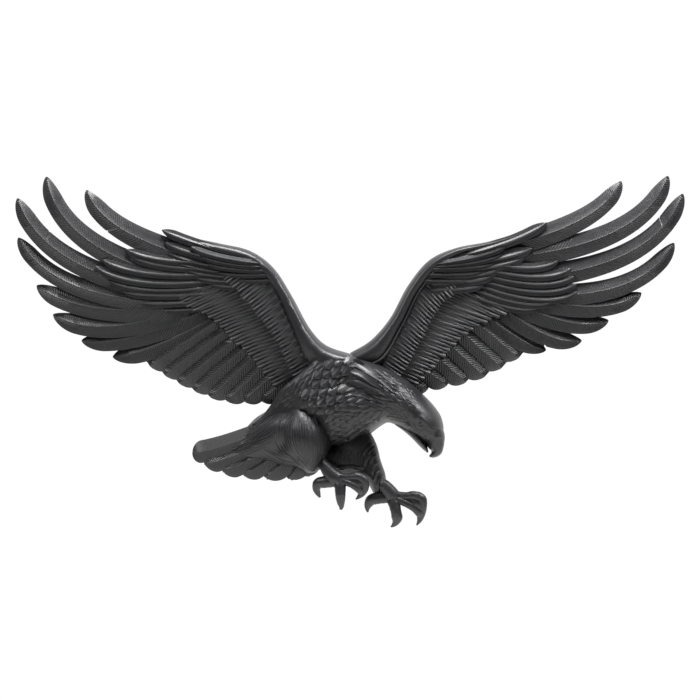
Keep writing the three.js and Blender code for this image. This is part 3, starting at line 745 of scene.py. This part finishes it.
def limb(stations, sides=18, per_station=5, relief=None):
    """Rings of a round limb at stations x, depth, z, radius."""
    shares = np.linspace(0, 1, (len(stations) - 1) * per_station + 1)
    path = curve([row[:3] for row in stations], shares)
    radii = smooth([row[3] for row in stations], shares).clip(0.4)
    way = np.gradient(path, axis=0)
    rings = []
    for t, spot, radius, step in zip(shares, path, radii, way):
        side = np.array([-step[2], 0, step[0]]) / math.hypot(step[2], step[0])
        angle = 2 * math.pi * np.arange(sides)[:, None] / sides
        grow = radius + (relief(t, angle) if relief else 0)
        rings.append(spot + grow * (side * np.cos(angle) + np.array([0, 1, 0]) * np.sin(angle)))
    return rings


haunch = softened("haunch", [
    closed("near thigh", form(THIGH, steps=40, sides=32, swell=0.8)),
    closed("rump", form(RUMP)),
    closed("undertail", form(UNDERTAIL)),
], HAUNCH_GRAIN, 28)
comb("thigh strand", haunch, [(-80, -50), (-100, -62), (-110, -84), (-102, -108), (-82, -124), (-62, -134)],
     [(-60, -52), (-46, -70), (-39, -92), (-41, -114), (-52, -133)], 21, 4)
comb("rump strand", haunch, [(-98, -46), (-116, -58), (-138, -76), (-172, -94)],
     [(-106, -96), (-122, -104), (-142, -112), (-166, -118)], 13, 6)
far_leg = softened("far leg", [
    closed("far thigh", form(FAR_THIGH, HEAD_BACK, steps=26, sides=30)),
    closed("groin", form(GROIN, steps=14, sides=14)),
], LEG_GRAIN, 14)
closed("hem", limb(HEM, sides=12, per_station=4))
comb("undertail strand", haunch, [(-106, -98), (-90, -112), (-72, -125), (-56, -135)],
     [(-138, -112), (-116, -122), (-92, -128), (-62, -136)], 9, 5)
comb("trouser strand", far_leg, [(-20, -98), (-26, -112), (-27, -128)],
     [(27, -87), (15, -99), (9, -114), (7, -129)], 21, 8, (0.5, 0.9))
trouser = surface_of(far_leg)
for i, line in enumerate(TROUSER_LOCKS):
    lock(f"trouser lock {i + 1}", trouser, line, 2.6, 2.5, 14)


# Scale feathers over the shoulders and breast, long ones down the neck and fine hackles at the head.
# They are pressed into the pattern one over the other, each with its tip raised towards the tail.
SHOULDER = [(-84, -42), (-66, -26), (-50, -8), (-38, 16), (-6, 12), (-4, -14), (-18, -44), (-32, -70),
            (-52, -62), (-68, -52)]
SHOULDER_SIDE = [(-112, -50), (-96, -30), (-74, -4), (-56, 12), (-36, 14), (-46, -6), (-64, -26),
                 (-84, -46)]
MANTLE = [(-6, -8), (10, -20), (24, -38), (14, -58), (-30, -66), (-18, -42)]
BREAST = [(-36, -66), (14, -54), (46, -52), (48, -70), (30, -82), (2, -96), (-32, -108), (-42, -84)]
THROAT = [(46, -50), (60, -50), (74, -60), (74, -72), (58, -70), (46, -70)]
NAPE = [(30, 3), (54, -9), (64, -22), (62, -40), (44, -56), (24, -50), (24, -24)]
CROWN = [(44, -4), (62, -14), (80, -30), (84, -42), (74, -58), (56, -62), (46, -44)]
LAP = 0.62
SIDE_LAP = 0.94
ROWS_EACH_WAY = 30
# Line, half width and height of each long feather down the nape.
NAPE_FEATHERS = [
    ([(34, -14), (16, -3), (0, 6), (-12, 8)], 5.0, 2.6),
    ([(38, -26), (22, -15), (5, -4), (-7, -1)], 5.4, 2.8),
    ([(44, -35), (24, -26), (6, -18), (-10, -15)], 4.4, 2.3),
    ([(40, -44), (22, -38), (4, -32), (-10, -31)], 3.4, 1.7),
    ([(48, -51), (30, -47), (12, -43), (-4, -45)], 3.0, 1.6), ([(52, -20), (38, -9), (25, 1)], 3.4, 1.6),
    ([(56, -32), (44, -22), (31, -12)], 3.2, 1.6), ([(-8, 12), (-17, 13), (-27, 12)], 3.6, 1.7),
    ([(-12, 0), (-21, 0), (-31, -5)], 4.0, 2.0), ([(-10, -9), (-19, -13), (-29, -20)], 4.0, 2.0),
    ([(60, -40), (49, -36), (36, -30)], 2.6, 1.4), ([(58, -49), (47, -47), (34, -44)], 2.5, 1.3),
]

scale_pattern = small_feather("scale", 5, 5, 1, 0.45)
petal_pattern = small_feather("petal scale", 7, 7, 0, 0.36)


def inside(x, z, outline):
    """True where a point lies inside a closed outline."""
    hit = False
    for (ax, az), (bx, bz) in zip(outline, outline[1:] + outline[:1]):
        if (az > z) != (bz > z) and x < (bx - ax) * (z - az) / (bz - az) + ax:
            hit = not hit
    return hit


def edge_gap(spot, outline):
    """How far a point lies from the nearest side of an outline."""
    gaps = []
    for a, b in zip(np.array(outline, float), np.array(outline[1:] + outline[:1], float)):
        share = np.clip(np.dot(spot - a, b - a) / np.dot(b - a, b - a), 0, 1)
        gaps.append(np.linalg.norm(spot - a - share * (b - a)))
    return min(gaps)


def rows_inside(outline, angle, length, width, height, lap):
    """Staggered rows of feathers that fill an outline, all tips towards one angle in degrees."""
    way = np.array([math.cos(math.radians(angle)), math.sin(math.radians(angle))])
    side = np.array([-way[1], way[0]])
    centre = np.mean(outline, axis=0)
    rows = []
    for i in range(-ROWS_EACH_WAY, ROWS_EACH_WAY + 1):
        for j in range(-ROWS_EACH_WAY, ROWS_EACH_WAY + 1):
            spot = centre + way * i * length * lap + side * (j + 0.5 * (i % 2)) * width * SIDE_LAP
            if inside(*spot, outline):
                small = 0.7 + 0.3 * min(1.0, edge_gap(spot, outline) / width)
                rows.append((*spot, *way, length * small, width * small, height * small))
    return rows


for name, pattern, outline, angle, size, lap, spreads, seed in (
        ("shoulder scale", petal_pattern, SHOULDER, 224, (17, 15, 5.2), 0.6, (0.1, 0.16), 3),
        ("mantle feather", scale_pattern, MANTLE, 192, (21, 7, 1.7), LAP, (0.25, 0.25), 5),
        ("throat feather", scale_pattern, THROAT, 150, (9, 3.6, 1.0), LAP, (0.25, 0.4), 17),
        ("shoulder edge feather", scale_pattern, SHOULDER_SIDE, 228, (17, 6, 1.0), LAP, (0.2, 0.2), 21),
        ("breast feather", scale_pattern, BREAST, 194, (14, 7.5, 2.0), LAP, (0.3, 0.7), 7),
        ("neck hackle", scale_pattern, NAPE, 156, (17, 5.0, 1.8), LAP, (0.25, 0.3), 9),
        ("crown hackle", scale_pattern, CROWN, 140, (9, 3.4, 0.6), LAP, (0.3, 0.4), 13)):
    lay(name, pattern, trunk, rows_inside(outline, angle, *size, lap), *spreads, seed)
back = surface_of(trunk)
for i, (line, half, height) in enumerate(NAPE_FEATHERS):
    lock(f"nape feather {i + 1}", back, line, half, height, 16, dip=0.5, round_end=0.22)


# The head, left smooth beside the feathers: brow ridge over a small eye, the waxy cere, a hooked
# upper beak and a short lower one with the open gape between them.
BEAK = [(98, -76, 6, 52), (106, -85, 13.5, 58), (107.5, -96, 13, 54), (109, -103, 10.5, 50),
        (109, -109, 7.5, 46), (104, -114, 4, 42), (99, -115.5, 1.2, 40)]
BEAK_BACK = 30.0
LOWER_BEAK = [(58, -68, 7, 36), (69, -77, 6, 45), (78, -85.5, 5.4, 49), (86, -94.5, 4.8, 49),
              (93, -103, 4, 46), (97.5, -110, 1.4, 42)]
BROW = [(80, 64, -60, 2), (88, 66, -66, 3.4), (96, 62, -74, 3.2), (104, 56, -80, 2)]
EYE = (87, -71)
EYE_STATIONS = [(-2.6, 64, 0.5), (-1.6, 64.5, 2.2), (0, 65, 2.2), (1.6, 64.5, 2.2), (2.6, 64, 0.5)]
LID = (3.4, 2.6)
HEAD_GRAIN = 1.45
GAPE = [(73, -78), (80, -84.5), (87, -91)]
BROW_LINE = [(80, -64), (87.5, -62), (94, -67), (101, -77), (113, -79.5)]
CERE = [(91, -79.5), (99.5, -86), (108, -89.5), (118, -88)]
CHEEK = [(76, -70), (80, -77), (88, -81), (93, -88)]


def draw(piece, line, height, width):
    """Raises or sinks a line drawn across the front of a soft form."""
    mesh = piece.data
    points, normals = vectors(mesh, "co"), vectors(mesh, "normal")
    trail = curve(line, np.linspace(0, 1, 60)) * MM
    gap = np.min(np.hypot(points[:, 0, None] - trail[:, 0], points[:, 2, None] - trail[:, 1]), axis=1)
    lift = height * MM * np.exp(-(gap / (width * MM)) ** 2) * np.clip(-normals[:, 1] * 2, 0, 1)
    points += normals * lift[:, None]
    mesh.vertices.foreach_set("co", points.ravel())
    mesh.update()


def emerging(t, angle):
    """Sinks the hidden end of the head into the neck, so that no edge shows where it comes out."""
    return np.full_like(angle, 0.7 - 2.4 * max(0.0, 1 - (t - 0.5) / 0.16) ** 2)


head = softened("head", [
    closed("skull", form(NECK, HEAD_BACK, steps=34, sides=40, start=0.5, relief=emerging)),
    closed("upper beak", form(BEAK, BEAK_BACK, steps=36, sides=28)),
    closed("brow", limb(BROW)),
], HEAD_GRAIN, 4)
round_eye = np.linspace(0, 2 * math.pi, 13)
lid = [(EYE[0] + LID[0] * math.cos(a), EYE[1] + LID[1] * math.sin(a)) for a in round_eye]
for line, height, width in ((GAPE, -2.8, 1.3), (CHEEK, -0.9, 1.4), (CERE, 0.8, 2.0),
                            (BROW_LINE, 0.8, 2.2), (lid, -0.8, 1.1)):
    draw(head, line, height, width)
closed("lower beak", form(LOWER_BEAK, BEAK_BACK, steps=20, sides=16))
closed("eye", limb([(EYE[0] + step, depth, EYE[1], radius) for step, depth, radius in EYE_STATIONS],
                   per_station=3))


# Shanks, toes and claws. They are thick enough to cast sound: knuckled toes with faint rings across
# them, ending in curved claws, and the front toes of each foot lie together as a fan.
TOES = {
    "near shank": [
        (-46, 46, -116, 4), (-42, 51, -125, 7), (-35, 53, -135, 9.4), (-27, 54, -143, 11),
        (-19, 54, -151, 7), (-16, 50, -155, 1),
    ],
    "near back toe": [
        (-26, 53, -147, 9), (-39, 51, -149, 8.2), (-49, 48, -151.5, 7.6), (-51.5, 45, -158.5, 5.4),
        (-49.5, 41, -165, 3.6), (-46.8, 38, -170.5, 1.2),
    ],
    "near middle toe": [
        (-21, 46, -138, 4), (-20.5, 54, -146, 9), (-19.7, 59, -157, 7.6), (-19.5, 60, -166, 6.9),
        (-19.2, 58, -172, 6.2), (-18.8, 55, -177.7, 5), (-18.3, 52, -182, 3.5), (-19.1, 49, -186.3, 1.7),
    ],
    "near front toe": [
        (-24, 55, -142.5, 7), (-10, 60, -142.5, 5), (4, 63, -141.5, 5.6), (12, 62, -147, 6.4),
        (12, 59, -156.5, 6.4), (9, 56, -164, 5), (4.5, 52, -169.5, 2.6), (0.8, 49, -172.5, 0.7),
    ],
    "near inner toe": [
        (-20, 57, -147, 6), (-7, 62, -151, 4.6), (4, 62, -157, 5.6), (8.5, 59, -163, 4.6),
        (10, 54, -168, 1),
    ],
    "near toe web": [
        (-18, 54, -146, 6), (-4, 58, -148, 7.5), (6, 58, -151, 9), (8.5, 55, -157, 8), (9, 50, -164, 2),
    ],
    "far shank": [
        (33, 42, -145, 3), (38, 43, -152, 7.5), (45, 42, -161, 9.5), (52, 40, -170, 10), (57, 37, -177, 5),
        (59, 34, -180, 1),
    ],
    "far back toe": [
        (46, 38, -170, 8), (33, 37, -171, 8), (22, 35, -174, 7.8), (17.5, 32, -181, 5.4),
        (16.6, 29, -187, 2.8), (17.3, 27, -191, 0.8),
    ],
    "far middle toe": [
        (46, 32, -163, 4), (50, 40, -171, 8.6), (53, 44, -181, 7.8), (55, 45, -190, 7.2),
        (56, 43, -197, 7.6), (54.5, 40, -203.5, 5), (51, 36, -208, 2.6), (47.8, 33, -210.3, 0.8),
    ],
    "far front toe": [
        (50, 40, -167, 7), (66, 45, -168.5, 5.6), (80, 48, -167.5, 6.2), (88.5, 47, -172, 7),
        (89, 44, -184, 7), (88, 40, -194, 5.6), (86, 36, -202, 3.2), (82.5, 32, -208, 0.8),
    ],
    "far inner toe": [
        (52, 42, -171, 6), (66, 47, -177, 5), (79, 47, -184, 5.4), (86.5, 44, -192, 5.6),
        (88.5, 40, -199, 1),
    ],
    "far toe web": [
        (58, 40, -172, 6), (72, 43, -175.5, 7.5), (83, 44, -178, 9.5), (86, 41, -187, 8.5),
        (87, 36, -195, 2),
    ],
}


def ringed(t, angle):
    """Faint rings across a toe, fading out over the claw."""
    return 0.3 * math.sin(60 * t) * max(0.0, 1 - t / 0.62) * np.ones_like(angle)


for name, stations in TOES.items():
    closed(name, limb(stations, relief=ringed))


# The wall side: planed flat, with domed hollows that keep the walls thin, and three bosses that end
# in round pads. The pads are the only metal that touches the wall.
HOLLOWS = [
    [(-212, 134, 6, 20), (-180, 136, 16, 28), (-146, 120, 20, 32), (-116, 82, 21, 34), (-92, 40, 20, 36),
     (-78, 14, 6, 30)],
    [(-196, 98, 5, 16), (-160, 70, 15, 23), (-134, 36, 15, 24), (-108, -8, 6, 22)],
    [(206, 140, 6, 16), (176, 142, 14, 23), (142, 126, 19, 26), (108, 86, 19, 26), (82, 44, 17, 26),
     (62, 12, 5, 20)],
    [(184, 90, 5, 14), (150, 70, 13, 19), (126, 40, 13, 20), (98, -4, 5, 16)],
    [(-98, -36, 6, 24), (-76, -34, 28, 46), (-40, -36, 36, 58), (2, -44, 34, 60), (28, -48, 6, 40)],
    [(-76, -80, 6, 44), (-72, -88, 22, 62), (-66, -106, 18, 60), (-60, -118, 5, 44)],
    [(36, -24, 6, 40), (50, -34, 17, 56), (74, -52, 15, 54), (86, -64, 5, 40)],
]
PADS = [(0, 0, 56), (-170, 98, 24), (164, 100, 22)]
PAD_RADIUS = 15.0
PAD_EDGE = 0.6
PLANED = ((-40, -300), (BACK, -300), (BACK, 340), (-40, 340))
PLANED_TO = 520

hollow_forms = collection("Hollow forms")
pad_forms = collection("Pad forms")
for i, stations in enumerate(HOLLOWS):
    closed(f"hollow {i + 1}", form(stations, 0.0, steps=16, sides=14), hollow_forms)
plane_off = [[(x, depth, z) for depth, z in PLANED] for x in (-PLANED_TO, PLANED_TO)]
closed("planed back", plane_off, hollow_forms)
turn_steps = 2 * math.pi * np.arange(48) / 48
for i, (x, z, depth) in enumerate(PADS):
    disc = [[(x + radius * math.cos(a), d, z + radius * math.sin(a)) for a in turn_steps]
            for d, radius in ((0, PAD_RADIUS - PAD_EDGE), (PAD_EDGE, PAD_RADIUS), (depth, PAD_RADIUS))]
    closed(f"pad {i + 1}", disc, pad_forms)


# All the forms joined into the one skin of the casting, which takes the place of the plain solid.
# Edges sharper than the limit stay crisp, as the coat leaves them; the rest is shaded smooth.
CRISP = math.radians(22)


def whole(mesh):
    """Drops any crumb that lies loose beside the one casting."""
    ends = np.empty(len(mesh.edges) * 2, np.int64)
    mesh.edges.foreach_get("vertices", ends)
    ends = ends.reshape(-1, 2)
    label = np.arange(len(mesh.vertices))
    changed = True
    while changed:
        least = label[ends].min(axis=1)
        spread_on = label.copy()
        np.minimum.at(spread_on, ends[:, 0], least)
        np.minimum.at(spread_on, ends[:, 1], least)
        spread_on = spread_on[spread_on]
        changed = bool((spread_on != label).any())
        label = spread_on
    largest = np.bincount(label).argmax()
    work = bmesh.new()
    work.from_mesh(mesh)
    crumbs = [v for v in work.verts if label[v.index] != largest]
    bmesh.ops.delete(work, geom=crumbs, context="VERTS")
    work.to_mesh(mesh)
    work.free()


def joined(piece, group, operation):
    """Adds a group of solids to a piece, or cuts it away, as one closed skin."""
    cut = piece.modifiers.new("Join", "BOOLEAN")
    cut.operation = operation
    cut.solver = "MANIFOLD"
    cut.operand_type = "COLLECTION"
    cut.collection = group
    piece.data = applied(piece)


casting = new_object("eagle_casting", trunk.data.copy())
bpy.data.objects.remove(trunk)
joined(casting, forms, "UNION")
joined(casting, hollow_forms, "DIFFERENCE")
joined(casting, pad_forms, "UNION")
whole(casting.data)
for group in (forms, patterns, hollow_forms, pad_forms):
    for spare in list(group.objects):
        bpy.data.objects.remove(spare)
    bpy.data.collections.remove(group)
casting.data.name = "eagle_casting"
casting.data.materials.clear()
casting.data.materials.append(coat)
casting.data.polygons.foreach_set("use_smooth", np.ones(len(casting.data.polygons), bool))
casting.data.polygons.foreach_set("material_index", np.zeros(len(casting.data.polygons), np.int32))
casting.data.set_sharp_from_angle(angle=CRISP)
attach(casting, "root")
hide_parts("eagle")


# The studio: a pale floor well below the eagle, a room that is white behind it and dim in front, and
# soft lights above, to the left and to the right, so that upper edges gleam and the furrows stay dark.
PAPER_WHITE = "#e6e6e4"
FLOOR_Z = -0.65
FLOOR_HALF = 1.6
ROOM_SPAN = (-0.2, 0.9)
ROOM_LEVEL = (0.136, 1.02)
LENS = 171.4
VIEWPOINT = (-0.00675, -4.5, 0.027)

corners = [(x * FLOOR_HALF, y * FLOOR_HALF, FLOOR_Z) for x, y in ((-1, -1), (1, -1), (1, 1), (-1, 1))]
floor_mesh = bpy.data.meshes.new("floor")
floor_mesh.from_pydata(corners, [], [(0, 1, 2, 3)])
floor = new_object("floor", floor_mesh)
paper = bpy.data.materials.new("Matt white paper")
paper_tree = cleared(paper)
fibre = add(paper_tree, "ShaderNodeTexNoise", {"Scale": 400.0, "Detail": 2.0})
fibre_bump = add(paper_tree, "ShaderNodeBump", {"Height": fibre, "Strength": 0.1, "Distance": 0.0002})
sheet = add(paper_tree, "ShaderNodeBsdfPrincipled", {
    "Base Color": linear(PAPER_WHITE), "Roughness": 0.9, "Normal": fibre_bump,
})
add(paper_tree, "ShaderNodeOutputMaterial", {"Surface": sheet})
floor_mesh.materials.append(paper)

room = bpy.data.worlds.new("White room")
room_tree = cleared(room)
towards = add(room_tree, "ShaderNodeTexCoord").outputs["Generated"]
parts = add(room_tree, "ShaderNodeSeparateXYZ", {"Vector": towards})
level = add(room_tree, "ShaderNodeMapRange", {
    "Value": parts.outputs["Y"], "From Min": ROOM_SPAN[0], "From Max": ROOM_SPAN[1],
    "To Min": ROOM_LEVEL[0], "To Max": ROOM_LEVEL[1],
})
glow = add(room_tree, "ShaderNodeBackground", {"Color": (1, 1, 1, 1), "Strength": level})
add(room_tree, "ShaderNodeOutputWorld", {"Surface": glow})
bpy.context.scene.world = room


def soft_light(name, where, at, size, power):
    """A square softbox that faces a point."""
    lamp = bpy.data.lights.new(name, "AREA")
    lamp.shape = "SQUARE"
    lamp.size = size
    lamp.energy = power
    made = new_object(name, lamp)
    made.location = where
    away = np.array(where) - np.array(at)
    flat = math.hypot(away[0], away[1])
    made.rotation_euler = (math.atan2(flat, away[2]), 0, math.atan2(away[0], -away[1]))


soft_light("overhead softbox", (0.1, -0.3, 1.72), (0, 0, 0), 0.8, 58)
soft_light("left softbox", (-1.5, -0.85, 1.15), (0, 0, 0), 0.6, 14)
soft_light("right softbox", (1.25, -0.38, 1.15), (0.08, 0, -0.05), 0.6, 24)

lens = bpy.data.cameras.new("camera")
lens.lens = LENS
lens.sensor_width = 36.0
lens.clip_end = 20.0
camera = new_object("camera", lens)
camera.location = VIEWPOINT
camera.rotation_euler = (math.radians(90), 0, 0)
bpy.context.scene.camera = camera
bpy.context.scene.view_settings.view_transform = "Standard"
